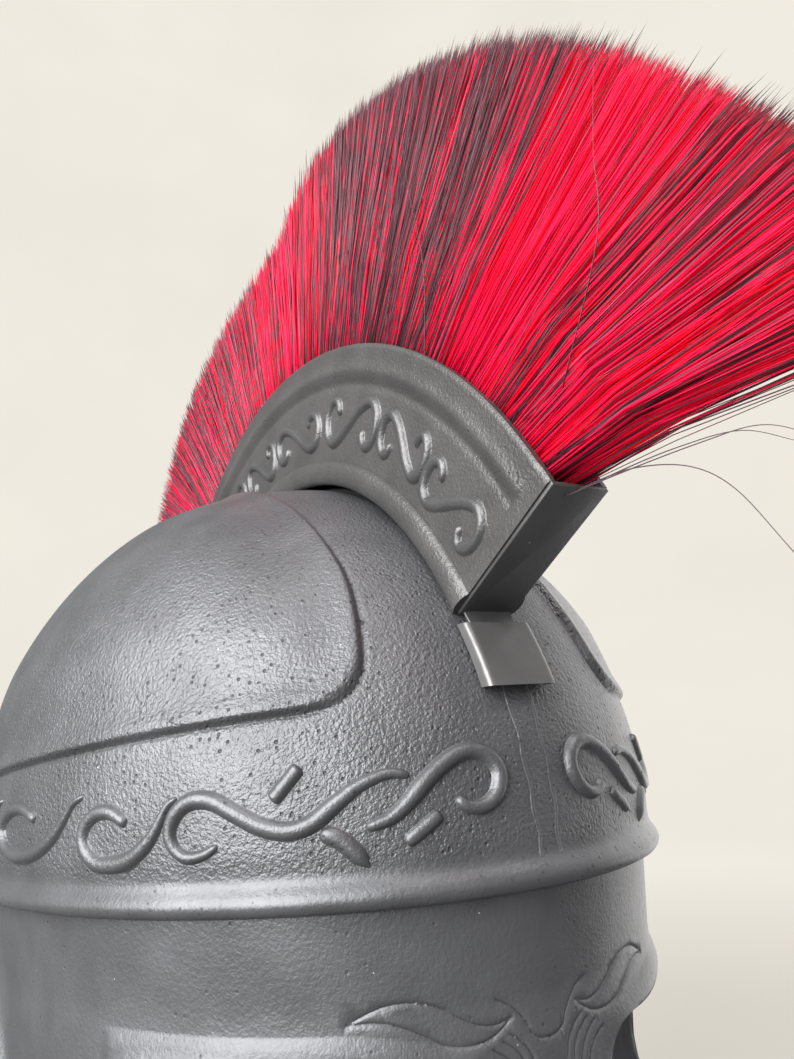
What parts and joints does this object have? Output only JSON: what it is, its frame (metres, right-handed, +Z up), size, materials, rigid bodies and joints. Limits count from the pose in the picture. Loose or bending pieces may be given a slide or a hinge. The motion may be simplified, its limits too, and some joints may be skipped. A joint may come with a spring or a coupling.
{
  "type": "roman legionary helmet",
  "caption": "Open-faced steel helmet with a rolled bead, raised side panels, brow ridges, nose guard, cheek guards, flared neck guard and a box crest with a brush of dyed bristles.",
  "frame": {"origin": "on the ground plane the helmet stands on, under the middle of its bounding box", "axes": "+Z up, -Y the way the wearer looks, -X the wearer's right, +X the wearer's left"},
  "size_m": [0.2054, 0.4496, 0.3839],
  "materials": {
    "dome_paint": "satin dark iron grey paint with a pebbly, pitted surface",
    "wall_paint": "satin dark iron grey paint, smoother than on the crown",
    "crest_paint": "satin dark iron grey paint over embossed scrolls",
    "smooth_paint": "smooth satin near-black paint",
    "bristle": "crimson dyed bristles with darker strands"
  },
  "bodies": {
    "root": {"skull_cap": "dome_paint", "face_skirt": "wall_paint", "crest_side_right": "crest_paint", "crest_side_left": "crest_paint", "crest_strip": "smooth_paint", "front_tab": "smooth_paint", "rear_tab": "smooth_paint", "crest_brush": "bristle"}
  },
  "joints": []
}
